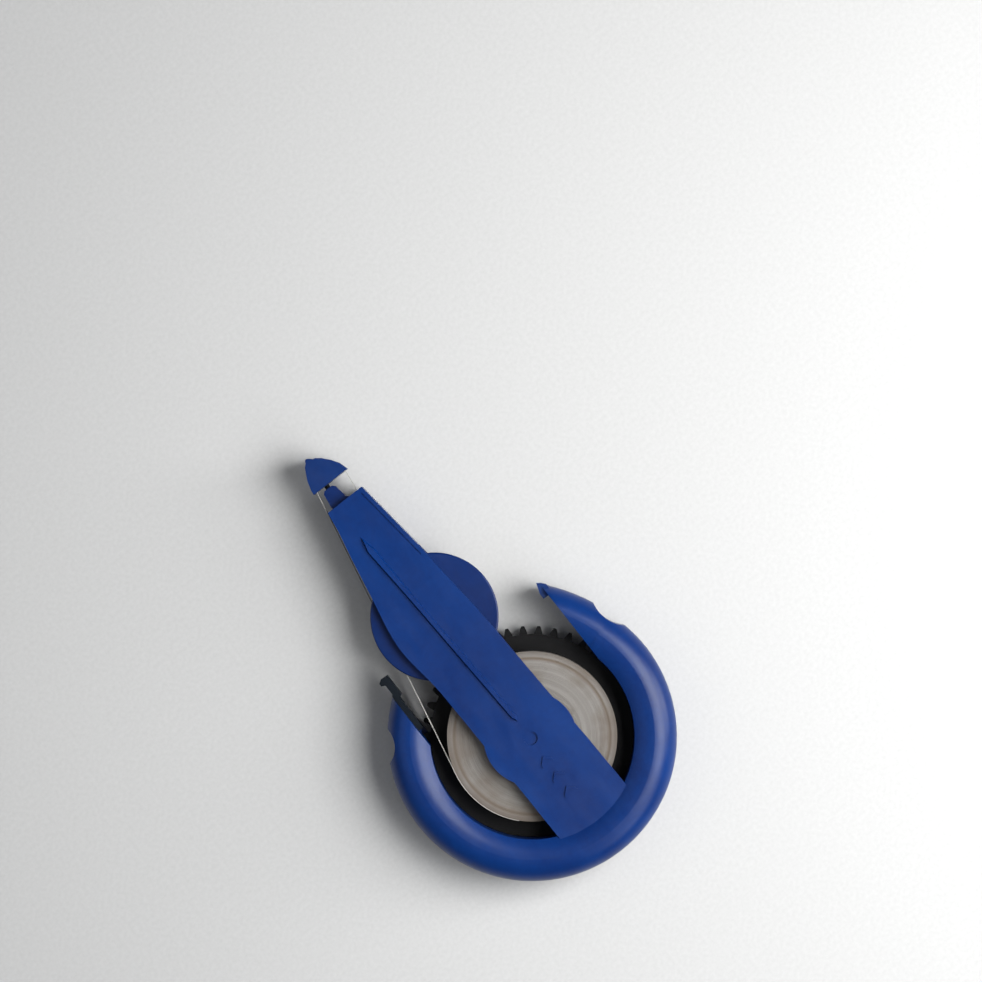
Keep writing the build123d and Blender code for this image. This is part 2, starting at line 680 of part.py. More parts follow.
with BuildPart() as clutch_ring:
    with BuildSketch(Plane.XZ):
        with Locations((CLUTCH_CENTRE_R, CLUTCH_Z)):
            Circle(CLUTCH_SECTION_R)
    revolve(axis=Axis.Z)

with BuildPart() as supply_core:
    with BuildSketch(Plane.XY.offset(TAPE_FLOOR_Z)):
        Circle(CORE_OUTER_R)
        Circle(GEAR_HUB_R + AXLE_CLEARANCE, mode=Mode.SUBTRACT)
    extrude(amount=TAPE_WIDTH)
    with BuildSketch(Plane.XZ):
        with Locations((CLUTCH_CENTRE_R, CLUTCH_Z)):
            Rectangle(
                2 * (CLUTCH_SECTION_R + CLUTCH_GROOVE_SIDE), 2 * (CLUTCH_SECTION_R + CLUTCH_GROOVE_END)
            )
    revolve(axis=Axis.Z, mode=Mode.SUBTRACT)

with BuildPart() as supply_retainer:
    with BuildSketch(Plane.XY.offset(HUB_TOP_Z)):
        Circle(RETAINER_R)
    extrude(amount=RETAINER_THICKNESS)
    with BuildSketch(Plane.XY.offset(HUB_TOP_Z - RETAINER_SPIGOT)):
        Circle(RETAINER_SPIGOT_R)
    extrude(amount=RETAINER_SPIGOT)
    with BuildSketch(Plane.XY.offset(HUB_TOP_Z - RETAINER_SPIGOT)):
        Circle(SUPPLY_AXLE_R + 2 * AXLE_CLEARANCE)
    extrude(amount=FAR, mode=Mode.SUBTRACT)

# ---------------------------------------------------------------- take-up reel

drum_bore_r = TAKEUP_HUB_R - TAKEUP_WALL

with BuildPart() as takeup_drum:
    with BuildSketch(Plane.XY.offset(GEAR_FLOOR_Z)):
        with Locations(TAKEUP_CENTRE):
            add(takeup_teeth)
    extrude(amount=PINION_THICKNESS)
    with BuildSketch(Plane.XY.offset(GEAR_FLOOR_Z + PINION_THICKNESS)):
        with Locations(TAKEUP_CENTRE):
            Circle(TAKEUP_PITCH_R - DEDENDUM * MODULE - TAKEUP_RIM_STEP)
    extrude(amount=TAPE_FLOOR_Z - GEAR_FLOOR_Z - PINION_THICKNESS)
    with BuildSketch(Plane.XY.offset(TAPE_FLOOR_Z)):
        with Locations(TAKEUP_CENTRE):
            Circle(TAKEUP_HUB_R)
            Circle(drum_bore_r, mode=Mode.SUBTRACT)
            Circle(TAKEUP_BOSS_R)
    extrude(amount=TAPE_WIDTH)
    with BuildSketch(Plane.XY.offset(GEAR_FLOOR_Z)):
        with Locations(TAKEUP_CENTRE):
            Circle(TAKEUP_AXLE_R + AXLE_CLEARANCE)
    extrude(amount=FAR, mode=Mode.SUBTRACT)

with BuildPart() as takeup_flange:
    with BuildSketch(Plane.XY.offset(FLANGE_Z)):
        with Locations(TAKEUP_CENTRE):
            Circle(FLANGE_R)
    extrude(amount=FLANGE_THICKNESS)
    fillet(takeup_flange.edges(), FLANGE_ROUND)
    with BuildSketch(Plane.XY.offset(FLANGE_Z - FLANGE_SPIGOT)):
        with Locations(TAKEUP_CENTRE):
            Circle(drum_bore_r)
            Circle(drum_bore_r - FLANGE_SPIGOT_WALL, mode=Mode.SUBTRACT)
    extrude(amount=FLANGE_SPIGOT)
    with BuildSketch(Plane.XY.offset(FLANGE_Z)):
        with Locations(TAKEUP_CENTRE):
            Circle(TAKEUP_AXLE_R + AXLE_CLEARANCE)
    extrude(amount=FLANGE_THICKNESS, mode=Mode.SUBTRACT)

with BuildPart() as takeup_winding:
    with BuildSketch(Plane.XY.offset(TAPE_FLOOR_Z)):
        with Locations(TAKEUP_CENTRE):
            Circle(TAKEUP_HUB_R + LINER_WOUND)
            Circle(TAKEUP_HUB_R, mode=Mode.SUBTRACT)
    extrude(amount=TAPE_WIDTH)

# ---------------------------------------------------------------- latches


def build_latch(points):
    """Flat spring hook standing between the ring's halves."""
    with BuildPart() as latch:
        with BuildSketch(Plane.XY.offset(LATCH_FLOOR_Z)):
            Polygon(*points, align=None)
        extrude(amount=LATCH_HEIGHT)
    return latch


left_latch = build_latch(LEFT_LATCH)
right_latch = build_latch(RIGHT_LATCH)

# ---------------------------------------------------------------- front cover

rib_shoulder_y = RIB_HEAD[1] - RIB_HEAD_TAPER

with BuildPart() as rib:
    with BuildSketch(Plane.XY.offset(ARM_TOP_Z - RIB_ROOT)):
        Polygon(
            (RIB_FOOT[0], RIB_FOOT[1] - RIB_FOOT_TAPER),
            (RIB_FOOT[0] + RIB_HALF_WIDTH, RIB_FOOT[1]),
            (RIB_HEAD[0] + RIB_HALF_WIDTH, rib_shoulder_y),
            RIB_HEAD,
            (RIB_HEAD[0] - RIB_HALF_WIDTH, rib_shoulder_y),
            (RIB_FOOT[0] - RIB_HALF_WIDTH, RIB_FOOT[1]),
            align=None,
        )
    extrude(amount=RIB_ROOT + RIB_HEIGHT, taper=RIB_LEAN)
    with BuildSketch(Plane.YZ):
        Polygon(
            (SLOPE_FROM_Y, ARM_TOP_Z + RIB_HEIGHT),
            (NOSE_END_Y, ARM_TOP_Z + RIB_HEIGHT - FRONT_DROP),
            (NOSE_END_Y, CLEAR_Z),
            (SLOPE_FROM_Y, CLEAR_Z),
            align=None,
        )
    extrude(amount=FAR, both=True, mode=Mode.SUBTRACT)

with BuildPart() as front_cover:
    add(arm_front)
    add(ring_front)
    add(ring_hollow, mode=Mode.SUBTRACT)
    with BuildSketch(Plane.XY.offset(PEG_FOOT_Z)):
        add(pegs)
    extrude(amount=GROOVE_TOP_Z + PEG_INTO_DOME - PEG_FOOT_Z)
    add(rib.part)
    with BuildSketch(Plane.XY.offset(FRONT_PLATE_Z)):
        with Locations((0, 0), TAKEUP_CENTRE):
            Circle(SPIGOT_R + SOCKET_CLEARANCE)
    extrude(amount=SPIGOT_LENGTH + SOCKET_DEPTH_CLEARANCE, mode=Mode.SUBTRACT)
    with BuildSketch(Plane.XY.offset(NOSE_FRONT_Z)):
        with Locations((TIP_X, STUD_Y)):
            Circle(STUD_R + SOCKET_CLEARANCE)
    extrude(amount=SPIGOT_LENGTH + SOCKET_DEPTH_CLEARANCE, mode=Mode.SUBTRACT)
    with BuildSketch(Plane.XY.offset(ARM_TOP_Z - DIMPLE_DEPTH)):
        with Locations(DIMPLE_CENTRE):
            Circle(DIMPLE_R)
    extrude(amount=DIMPLE_DEPTH, mode=Mode.SUBTRACT)
    for mark_y in MARK_YS:
        with BuildSketch(Plane.XY.offset(ARM_TOP_Z - MARK_HEIGHT)):
            with Locations((MARK_X, mark_y)):
                Polygon(*CHEVRON, align=None)
        extrude(amount=2 * MARK_HEIGHT)
    seam_plane = Plane(
        (0, SLOPE_FROM_Y, ARM_TOP_Z), x_dir=(1, 0, 0), z_dir=(0, FRONT_SLOPE, 1)
    )
    with BuildSketch(seam_plane):
        Polygon(
            (nose_right_x(SEAM_FROM_Y) - SEAM_INSET, SEAM_FROM_Y - SLOPE_FROM_Y),
            (nose_right_x(SEAM_TO_Y) - SEAM_INSET, SEAM_TO_Y - SLOPE_FROM_Y),
            (nose_right_x(SEAM_TO_Y) - SEAM_INSET - SEAM_WIDTH, SEAM_TO_Y - SLOPE_FROM_Y),
            (nose_right_x(SEAM_FROM_Y) - SEAM_INSET - SEAM_WIDTH, SEAM_FROM_Y - SLOPE_FROM_Y),
            align=None,
        )
    extrude(amount=-SEAM_DEPTH, mode=Mode.SUBTRACT)
    add(left_latch.part, mode=Mode.SUBTRACT)
    add(right_latch.part, mode=Mode.SUBTRACT)

# ---------------------------------------------------------------- back frame

with BuildPart() as back_frame:
    add(arm_back)
    add(ring_back)
    with BuildSketch(Plane.XY.offset(BACK_PLATE)):
        with Locations((0, 0), TAKEUP_CENTRE):
            Circle(THRUST_BOSS_R)
    extrude(amount=THRUST_BOSS)
    with BuildSketch(Plane.XY.offset(BACK_PLATE)):
        Circle(SUPPLY_AXLE_R)
        with Locations(TAKEUP_CENTRE):
            Circle(TAKEUP_AXLE_R)
    extrude(amount=FRONT_PLATE_Z - BACK_PLATE)
    with BuildSketch(Plane.XY.offset(FRONT_PLATE_Z)):
        with Locations((0, 0), TAKEUP_CENTRE):
            Circle(SPIGOT_R)
    extrude(amount=SPIGOT_LENGTH)
    with BuildSketch(Plane.XY.offset(NOSE_BACK_Z)):
        Polygon(
            (nose_right_x(NOSE_FROM_Y), NOSE_FROM_Y),
            NOSE_RIGHT,
            (NOSE_RIGHT[0] - NOSE_WALL, NOSE_END_Y),
            (nose_right_x(NOSE_FROM_Y) - NOSE_WALL, NOSE_FROM_Y),
            align=None,
        )
    extrude(amount=NOSE_FRONT_Z - NOSE_BACK_Z)
    with BuildSketch(Plane.XY):
        Circle(PEG_SOCKET_R)
    extrude(amount=PEG_SOCKET_DEPTH, mode=Mode.SUBTRACT)
    with BuildSketch(Plane.XY):
        for centre, radii in (((0, 0), SUPPLY_RECESS), (TAKEUP_CENTRE, TAKEUP_RECESS)):
            with Locations(centre):
                Circle(radii[0])
                Circle(radii[1], mode=Mode.SUBTRACT)
        with Locations(*BACK_SLOT_CENTRES):
            SlotCenterToCenter(*BACK_SLOT, rotation=90)
    extrude(amount=RECESS_DEPTH, mode=Mode.SUBTRACT)
    with BuildSketch(Plane.XY.offset(PEG_FOOT_Z - SOCKET_DEPTH_CLEARANCE)):
        add(peg_sockets)
    extrude(amount=RING_SPLIT_Z - PEG_FOOT_Z + 2 * SOCKET_DEPTH_CLEARANCE, mode=Mode.SUBTRACT)
    with BuildSketch(Plane.XY.offset(NOSE_BACK_Z - SPIGOT_LENGTH - SOCKET_DEPTH_CLEARANCE)):
        with Locations((TIP_X, STUD_Y)):
            Circle(STUD_R + SOCKET_CLEARANCE)
    extrude(amount=SPIGOT_LENGTH + SOCKET_DEPTH_CLEARANCE, mode=Mode.SUBTRACT)

# ---------------------------------------------------------------- export

finish(front_cover, "front_cover")
finish(back_frame, "back_frame")
finish(left_latch, "left_latch")
finish(right_latch, "right_latch")
finish(supply_gear, "supply_gear")
finish(clutch_ring, "clutch_ring")
finish(supply_core, "supply_core")
finish(supply_retainer, "supply_retainer")
finish(tape_roll, "tape_roll")
finish(takeup_drum, "takeup_drum")
finish(takeup_flange, "takeup_flange")
finish(takeup_winding, "takeup_winding")
finish(tip_holder, "tip_holder")
finish(tip_pin, "tip_pin")
finish(tip_head, "tip_head")
finish(feed_tape, "feed_tape")
finish(return_tape, "return_tape")
finish(tip_tape, "tip_tape")
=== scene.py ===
"""Looks for the correction tape cassette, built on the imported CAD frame. Blender 4.5."""

import json
import math
import random

import bmesh
import bpy
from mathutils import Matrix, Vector


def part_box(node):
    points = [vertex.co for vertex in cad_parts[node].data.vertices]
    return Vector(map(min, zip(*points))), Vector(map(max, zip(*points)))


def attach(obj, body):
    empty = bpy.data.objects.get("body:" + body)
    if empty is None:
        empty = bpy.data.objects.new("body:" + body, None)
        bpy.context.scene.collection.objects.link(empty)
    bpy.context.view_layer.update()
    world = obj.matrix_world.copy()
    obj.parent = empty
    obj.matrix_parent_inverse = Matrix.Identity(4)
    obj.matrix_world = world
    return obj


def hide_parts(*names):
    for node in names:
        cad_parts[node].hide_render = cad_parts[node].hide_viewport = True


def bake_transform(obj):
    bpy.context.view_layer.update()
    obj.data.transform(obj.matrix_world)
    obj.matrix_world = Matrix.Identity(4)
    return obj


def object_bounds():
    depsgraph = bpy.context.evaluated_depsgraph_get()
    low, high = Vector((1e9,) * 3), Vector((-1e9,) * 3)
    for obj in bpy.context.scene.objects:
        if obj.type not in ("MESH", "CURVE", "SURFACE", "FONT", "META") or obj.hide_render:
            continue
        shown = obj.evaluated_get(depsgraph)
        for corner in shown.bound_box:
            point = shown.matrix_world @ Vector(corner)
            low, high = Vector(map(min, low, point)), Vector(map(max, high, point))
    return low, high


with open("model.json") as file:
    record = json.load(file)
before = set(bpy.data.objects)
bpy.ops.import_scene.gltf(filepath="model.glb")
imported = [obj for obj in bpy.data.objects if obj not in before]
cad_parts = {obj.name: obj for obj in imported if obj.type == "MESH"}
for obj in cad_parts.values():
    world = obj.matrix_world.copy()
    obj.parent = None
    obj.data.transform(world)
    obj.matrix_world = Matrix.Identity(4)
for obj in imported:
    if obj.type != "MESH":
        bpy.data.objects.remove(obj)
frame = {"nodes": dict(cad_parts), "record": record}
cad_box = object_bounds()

MM = 0.001
rng = random.Random(11)

# ---------------------------------------------------------------- sizes read from the frame


def joint_place(name):
    """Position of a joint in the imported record, in metres."""
    for joint in frame["record"]["behaviour"]["joints"]:
        if joint["name"] == name:
            return Vector(joint["pos_m"])
    raise ValueError(name)


roll_low, roll_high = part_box("tape_roll")
core_low, core_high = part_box("supply_core")
winding_low, winding_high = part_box("takeup_winding")

SUPPLY = Vector((0, 0, 0))
TAKEUP = joint_place("takeup_spin")
TAPE_LOW = roll_low.z
TAPE_HIGH = roll_high.z
ROLL_R = (roll_high.x - roll_low.x) / 2
CORE_R = (core_high.x - core_low.x) / 2
WOUND_R = (winding_high.x - winding_low.x) / 2
NOSE_END_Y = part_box("front_cover")[1].y
STEM_RIGHT_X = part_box("tip_holder")[1].x

# ---------------------------------------------------------------- shader helpers

# Sockets of a Mix node set to colours; its names repeat, so they are given by place
MIX_FACTOR = 0
MIX_FIRST_COLOUR = 6
MIX_SECOND_COLOUR = 7
MIX_COLOUR = 2


class Shader:
    """A Principled material and short calls for the nodes that feed it."""

    def __init__(self, name, **sockets):
        self.material = bpy.data.materials.new(name)
        self.material.use_nodes = True
        self.tree = self.material.node_tree
        self.nodes = self.tree.nodes
        self.bsdf = self.nodes["Principled BSDF"]
        self.coords = self.nodes.new("ShaderNodeTexCoord").outputs["Object"]
        for socket, value in sockets.items():
            self.bsdf.inputs[socket.replace("_", " ")].default_value = value

    def link(self, source, target):
        self.tree.links.new(source, target)

    def weighted(self, first, first_share, second, second_share):
        """Sum of two values, each times its share."""
        parts = []
        for value, share in ((first, first_share), (second, second_share)):
            part = self.nodes.new("ShaderNodeMath")
            part.operation = "MULTIPLY"
            part.inputs[1].default_value = share
            self.link(value, part.inputs[0])
            parts.append(part.outputs[0])
        total = self.nodes.new("ShaderNodeMath")
        total.operation = "ADD"
        self.link(parts[0], total.inputs[0])
        self.link(parts[1], total.inputs[1])
        return total.outputs[0]

    def stretched(self, x, y, z):
        """Object coordinates in millimetres, stretched along the axes."""
        node = self.nodes.new("ShaderNodeMapping")
        node.inputs["Scale"].default_value = (x / MM, y / MM, z / MM)
        self.link(self.coords, node.inputs["Vector"])
        return node.outputs["Vector"]

    def noise(self, scale, detail=3.0, roughness=0.5, vector=None):
        """Noise of about that many features a millimetre."""
        node = self.nodes.new("ShaderNodeTexNoise")
        node.inputs["Scale"].default_value = scale
        node.inputs["Detail"].default_value = detail
        node.inputs["Roughness"].default_value = roughness
        self.link(vector or self.stretched(1, 1, 1), node.inputs["Vector"])
        return node.outputs["Fac"]

    def radius(self):
        """Distance from the supply axis, in millimetres."""
        flat = self.nodes.new("ShaderNodeVectorMath")
        flat.operation = "MULTIPLY"
        flat.inputs[1].default_value = (1 / MM, 1 / MM, 0)
        self.link(self.coords, flat.inputs[0])
        length = self.nodes.new("ShaderNodeVectorMath")
        length.operation = "LENGTH"
        self.link(flat.outputs[0], length.inputs[0])
        return length.outputs["Value"]

    def along(self, value, scale, detail):
        """One-dimensional noise along a value."""
        node = self.nodes.new("ShaderNodeTexNoise")
        node.noise_dimensions = "1D"
        node.inputs["Scale"].default_value = scale
        node.inputs["Detail"].default_value = detail
        self.link(value, node.inputs["W"])
        return node.outputs["Fac"]

    def ramp(self, value, *stops):
        """Colour ramp; each stop is (place, colour)."""
        node = self.nodes.new("ShaderNodeValToRGB")
        elements = node.color_ramp.elements
        while len(elements) < len(stops):
            elements.new(0.5)
        for element, (place, colour) in zip(elements, stops):
            element.position = place
            element.color = (*colour, 1.0)
        self.link(value, node.inputs["Fac"])
        return node.outputs["Color"]

    def remap(self, value, low, high, to_low, to_high):
        """Value moved from one range to another, clamped."""
        node = self.nodes.new("ShaderNodeMapRange")
        node.inputs["From Min"].default_value = low
        node.inputs["From Max"].default_value = high
        node.inputs["To Min"].default_value = to_low
        node.inputs["To Max"].default_value = to_high
        self.link(value, node.inputs["Value"])
        return node.outputs["Result"]

    def tint(self, factor, colour, second):
        """Colour socket mixed, by a factor socket, with a second colour given as a tuple."""
        node = self.nodes.new("ShaderNodeMix")
        node.data_type = "RGBA"
        self.link(factor, node.inputs[MIX_FACTOR])
        self.link(colour, node.inputs[MIX_FIRST_COLOUR])
        node.inputs[MIX_SECOND_COLOUR].default_value = (*second, 1.0)
        return node.outputs[MIX_COLOUR]

    def bump(self, height, depth, below=None):
        """Bump of that many millimetres for a height from 0 to 1."""
        node = self.nodes.new("ShaderNodeBump")
        node.inputs["Strength"].default_value = 1.0
        node.inputs["Distance"].default_value = depth * MM
        self.link(height, node.inputs["Height"])
        if below is not None:
            self.link(below, node.inputs["Normal"])
        return node.outputs["Normal"]

    def use(self, colour=None, roughness=None, normal=None):
        """Feeds the shader and gives the material."""
        sources = {"Base Color": colour, "Roughness": roughness, "Normal": normal}
        for socket, source in sources.items():
            if source is not None:
                self.link(source, self.bsdf.inputs[socket])
        return self.material


# ---------------------------------------------------------------- materials


def moulded_plastic(name, dark, light, rough=(0.29, 0.37), grain=0.004, level=0.26):
    """Injection-moulded plastic: flow marks, a fine spark-eroded grain and faint handling wear."""
    shader = Shader(name, Specular_IOR_Level=level, IOR=1.49)
    flow = shader.noise(0.12, 4.0, 0.55, shader.stretched(1.0, 0.35, 1.0))
    mottle = shader.noise(1.3, 5.0, 0.6)
    tone = shader.weighted(flow, 0.7, mottle, 0.3)
    colour = shader.ramp(tone, (0.33, dark), (0.67, light))
    speck = shader.remap(shader.noise(5.5, 2.0, 0.5), 0.66, 0.80, 0.0, 0.10)
    lifted = tuple(min(1.0, channel * 1.5 + 0.008) for channel in light)
    colour = shader.tint(speck, colour, lifted)
    wear = shader.noise(0.4, 3.0, 0.5, shader.stretched(1.4, 0.5, 1.0))
    roughness = shader.remap(wear, 0.30, 0.70, *rough)
    fine = shader.bump(shader.noise(9.0, 3.0, 0.6), grain)
    wavy = shader.bump(shader.noise(0.22, 2.0, 0.4), 0.03, below=fine)
    return shader.use(colour, roughness, wavy)


def wound_tape():
    """Edge of wound tape: fine turns, a brown line near the outer edge and soft patches of painted
    brownish shade.
    """
    shader = Shader("wound_tape", IOR=1.45, Specular_IOR_Level=0.3)
    radius = shader.radius()
    turns = shader.along(radius, 9.0, 3.0)
    wide = shader.along(radius, 0.9, 2.0)
    place = shader.remap(radius, CORE_R / MM, ROLL_R / MM, 0.0, 1.0)
    colour = shader.ramp(
        place,
        (0.00, (0.105, 0.092, 0.080)),
        (0.14, (0.170, 0.158, 0.143)),
        (0.80, (0.200, 0.188, 0.172)),
        (0.865, (0.130, 0.098, 0.072)),
        (0.90, (0.170, 0.155, 0.138)),
        (1.00, (0.120, 0.105, 0.092)),
    )
    dark_turns = shader.remap(turns, 0.35, 0.70, 0.0, 0.22)
    colour = shader.tint(dark_turns, colour, (0.15, 0.135, 0.12))
    pale_bands = shader.remap(wide, 0.45, 0.70, 0.0, 0.18)
    colour = shader.tint(pale_bands, colour, (0.42, 0.41, 0.39))
    # Painted shade: soft noise patches darken the roll's edge towards a warm brown
    painted_shade_patches = shader.remap(shader.noise(0.16), 0.42, 0.62, 0.0, 0.55)
    colour = shader.tint(painted_shade_patches, colour, (0.125, 0.098, 0.076))
    roughness = shader.remap(wide, 0.3, 0.7, 0.42, 0.62)
    return shader.use(colour, roughness, shader.bump(turns, 0.03))


def free_tape(name, low, high, clear=0.0):
    """Free run of tape, matt and faintly streaked along its length; clear lets light through."""
    shader = Shader(name, IOR=1.5, Transmission_Weight=clear, Specular_IOR_Level=0.3)
    streaks = shader.noise(0.9, 3.0, 0.5, shader.stretched(0.3, 0.25, 2.5))
    colour = shader.ramp(streaks, (0.35, low), (0.65, high))
    roughness = shader.remap(shader.noise(3.0, 2.0), 0.3, 0.7, 0.42, 0.58)
    return shader.use(colour, roughness, shader.bump(streaks, 0.004))


def clutch_rubber():
    """Matt rubber with a powdery bloom."""
    shader = Shader("clutch_rubber", IOR=1.5, Specular_IOR_Level=0.3)
    bloom = shader.noise(3.5, 5.0, 0.6)
    colour = shader.ramp(bloom, (0.35, (0.012, 0.012, 0.012)), (0.7, (0.05, 0.05, 0.05)))
    roughness = shader.remap(bloom, 0.3, 0.7, 0.6, 0.85)
    return shader.use(colour, roughness, shader.bump(bloom, 0.02))


def floor_board():
    """Pale matt card."""
    shader = Shader("floor_board", Specular_IOR_Level=0.2, Roughness=0.8)
    fibre = shader.noise(1.5, 4.0, 0.6)
    colour = shader.ramp(fibre, (0.3, (0.47, 0.47, 0.465)), (0.7, (0.51, 0.51, 0.505)))
    return shader.use(colour, normal=shader.bump(fibre, 0.01))


materials = {
    "frame_blue": moulded_plastic("frame_blue", (0.000, 0.014, 0.092), (0.000, 0.026, 0.145)),
    # reel_blue is the frame's same blue plastic made darker: painted shade for the take-up flange
    # and tip holder
    "reel_blue": moulded_plastic("reel_blue", (0.000, 0.009, 0.064), (0.000, 0.017, 0.105)),
    "gear_black": moulded_plastic(
        "gear_black", (0.001, 0.001, 0.001), (0.004, 0.004, 0.005), (0.4, 0.55), 0.006, 0.14
    ),
    # latch_black is painted shade: the latch is blue plastic, made near black where its walls lie
    # in shadow
    "latch_black": moulded_plastic(
        "latch_black", (0.001, 0.003, 0.005), (0.005, 0.008, 0.012), (0.36, 0.5), 0.005, 0.12
    ),
    "tip_navy": moulded_plastic(
        "tip_navy", (0.000, 0.014, 0.086), (0.001, 0.024, 0.128), (0.30, 0.42), 0.005
    ),
    "core_grey": moulded_plastic(
        "core_grey", (0.36, 0.36, 0.34), (0.50, 0.50, 0.48), (0.4, 0.55), 0.005, 0.4
    ),
    "tape_white": wound_tape(),
    "liner": free_tape("liner", (0.46, 0.46, 0.42), (0.55, 0.55, 0.51), 0.35),
    "clutch_rubber": clutch_rubber(),
}
free_white = free_tape("free_white", (0.53, 0.52, 0.48), (0.60, 0.59, 0.56))

slot_of = {part["node"]: part["material_slot"] for part in frame["record"]["subparts"]}
for name, node in frame["nodes"].items():
    node.data.materials.clear()
    node.data.materials.append(materials[slot_of[name]])

# ---------------------------------------------------------------- wound tape

SHARP_ANGLE = math.radians(30)


def new_piece(name, build, material):
    """Object from a bmesh that build(shape) fills, shaded smooth except at its sharp edges."""
    shape = bmesh.new()
    build(shape)
    bmesh.ops.recalc_face_normals(shape, faces=shape.faces)
    mesh = bpy.data.meshes.new(name)
    shape.to_mesh(mesh)
    shape.free()
    mesh.materials.append(material)
    mesh.shade_smooth()
    mesh.set_sharp_from_angle(angle=SHARP_ANGLE)
    obj = bpy.data.objects.new(name, mesh)
    bpy.context.scene.collection.objects.link(obj)
    return obj


def revolve(shape, profile, centre, steps):
    """Closed solid of revolution about a vertical axis; profile is a closed loop of (r, z)."""
    rings = []
    for i in range(steps):
        angle = 2 * math.pi * i / steps
        direction = Vector((math.cos(angle), math.sin(angle), 0))
        ring = []
        for r, z in profile:
            ring.append(shape.verts.new(Vector((centre.x, centre.y, z)) + direction * r))
        rings.append(ring)
    for i, ring in enumerate(rings):
        after = rings[(i + 1) % steps]
        for j in range(len(profile)):
            k = (j + 1) % len(profile)
            shape.faces.new((ring[j], after[j], after[k], ring[k]))


FLAT_FROM, FLAT_TO = 0.2, 0.8  # flat part of a turn, as shares of its width
GROOVE_SHARE = 1.2  # depth of the groove between two turns, in unevennesses


def wound_profile(inner, outer, turns, unevenness):
    """Section of wound tape whose turns stand at slightly different heights."""
    low, high = TAPE_LOW, TAPE_HIGH
    groove = unevenness * GROOVE_SHARE
    top, bottom = [], []
    for i in range(turns):
        left = inner + (outer - inner) * i / turns
        right = inner + (outer - inner) * (i + 1) / turns
        drop = rng.uniform(0.1, 1.0) * unevenness
        lift = rng.uniform(0.1, 1.0) * unevenness
        for share in (FLAT_FROM, FLAT_TO):
            r = left + share * (right - left)
            top.append((r, high - drop))
            bottom.append((r, low + lift))
        outermost = i == turns - 1
        top.append((right, high - (drop if outermost else groove)))
        bottom.append((right, low + (lift if outermost else groove)))
    first = [(inner, high - unevenness)]
    last = [(inner, low + unevenness)]
    return first + top + bottom[::-1] + last


ROLL_TURNS, ROLL_STEPS = 56, 288
ROLL_UNEVENNESS = 0.035 * MM
WINDING_TURNS, WINDING_STEPS = 5, 192
WINDING_UNEVENNESS = 0.03 * MM
WINDING_THICKNESS = 0.2 * MM

pancake = new_piece(
    "wound_tape_roll",
    lambda shape: revolve(
        shape, wound_profile(CORE_R, ROLL_R, ROLL_TURNS, ROLL_UNEVENNESS), SUPPLY, ROLL_STEPS
    ),
    materials["tape_white"],
)
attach(pancake, "supply_spool")
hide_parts("tape_roll")

winding = new_piece(
    "takeup_wound_liner",
    lambda shape: revolve(
        shape,
        wound_profile(
            WOUND_R - WINDING_THICKNESS, WOUND_R, WINDING_TURNS, WINDING_UNEVENNESS
        ),
        TAKEUP,
        WINDING_STEPS,
    ),
    materials["liner"],
)
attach(winding, "takeup_reel")
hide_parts("takeup_winding")

# ---------------------------------------------------------------- free runs of tape

TAPE_THIN = 0.06 * MM
HALF_THIN = TAPE_THIN / 2
TAPE_STEP = 0.4 * MM  # longest straight piece of a run
ARC_STEP = 4.0  # widest piece of an arc, in degrees
BED_ROUNDS = 2  # how often the bed's corners are cut
ROLL_WRAP = 55  # how far the feed run lies round the roll, in degrees
DRUM_WRAP = 70  # how far the return run lies round the drum, in degrees


def ribbon(shape, points):
    """Thin upright strip whose middle follows the points."""
    low, high = TAPE_LOW, TAPE_HIGH
    rows = []
    for i, point in enumerate(points):
        before = points[max(i - 1, 0)]
        after = points[min(i + 1, len(points) - 1)]
        along = (after - before).normalized()
        side = Vector((-along.y, along.x)) * HALF_THIN
        corners = []
        for sign, z in ((-1, low), (1, low), (1, high), (-1, high)):
            place = point + sign * side
            corners.append(shape.verts.new((place.x, place.y, z)))
        rows.append(corners)
    for first, second in zip(rows, rows[1:]):
        for j in range(4):
            k = (j + 1) % 4
            shape.faces.new((first[j], second[j], second[k], first[k]))
    shape.faces.new(rows[0][::-1])
    shape.faces.new(rows[-1])


def spread(points):
    """The same line with points at most a tape step apart."""
    dense = [points[0]]
    for first, second in zip(points, points[1:]):
        pieces = max(1, math.ceil((second - first).length / TAPE_STEP))
        for i in range(1, pieces + 1):
            dense.append(first.lerp(second, i / pieces))
    return dense


def rounded(points):
    """Corner-cut copy of an open line, its ends kept."""
    for _ in range(BED_ROUNDS):
        cut = [points[0]]
        for first, second in zip(points, points[1:]):
            cut += [first.lerp(second, 0.25), first.lerp(second, 0.75)]
        cut.append(points[-1])
        points = cut
    return points


# Middle of the tape round the tip, from its left foot to its right foot: millimetres right of
# the axes and past the nose's end
BED = [
    (-2.80, 3.9),
    (-2.72, 4.8),
    (-2.40, 6.2),
    (-1.92, 7.4),
    (-1.50, 8.4),
    (-1.25, 8.9),
    (-0.95, 9.05),
    (-0.60, 8.85),
    (-0.10, 8.4),
    (0.85, 7.4),
    (1.85, 6.1),
    (2.50, 5.1),
    (2.85, 3.9),
]
APEX = 6  # the bed's highest point, where the feed run ends and the return run starts

# Guide lobe on the right of the tip's stem, inside the nose
LOBE_R = 0.8 * MM
LOBE_DEPTH = 1.2 * MM
LOBE = Vector((STEM_RIGHT_X - LOBE_R, NOSE_END_Y - LOBE_DEPTH))


def arc(centre, radius, start, end):
    """Points along an arc, angles in degrees."""
    count = max(2, math.ceil(abs(end - start) / ARC_STEP) + 1)
    angles = [math.radians(start + (end - start) * i / (count - 1)) for i in range(count)]
    return [centre.xy + radius * Vector((math.cos(a), math.sin(a))) for a in angles]


